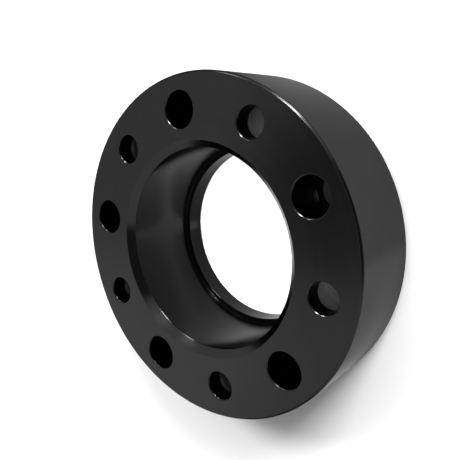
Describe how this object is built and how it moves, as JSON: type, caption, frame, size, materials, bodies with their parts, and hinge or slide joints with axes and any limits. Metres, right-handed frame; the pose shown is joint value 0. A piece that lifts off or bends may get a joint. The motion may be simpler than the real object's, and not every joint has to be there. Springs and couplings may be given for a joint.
{
  "type": "wheel spacer",
  "caption": "Thick round ring with a chamfered centre bore, a centring collar behind it, and wide and narrow stepped stud holes that alternate round its face.",
  "frame": {"origin": "on the ring's axis, in the end plane of the centring collar that the ring rests on", "axes": "+Z along the ring's axis, out of the face that bolts to the vehicle's hub; +X through the middle of a wheel stud hole"},
  "size_m": [0.186, 0.186, 0.059],
  "materials": {
    "black_anodised": "satin black anodised over fine turning marks"
  },
  "bodies": {
    "root": {"spacer_ring": "black_anodised"}
  },
  "joints": []
}
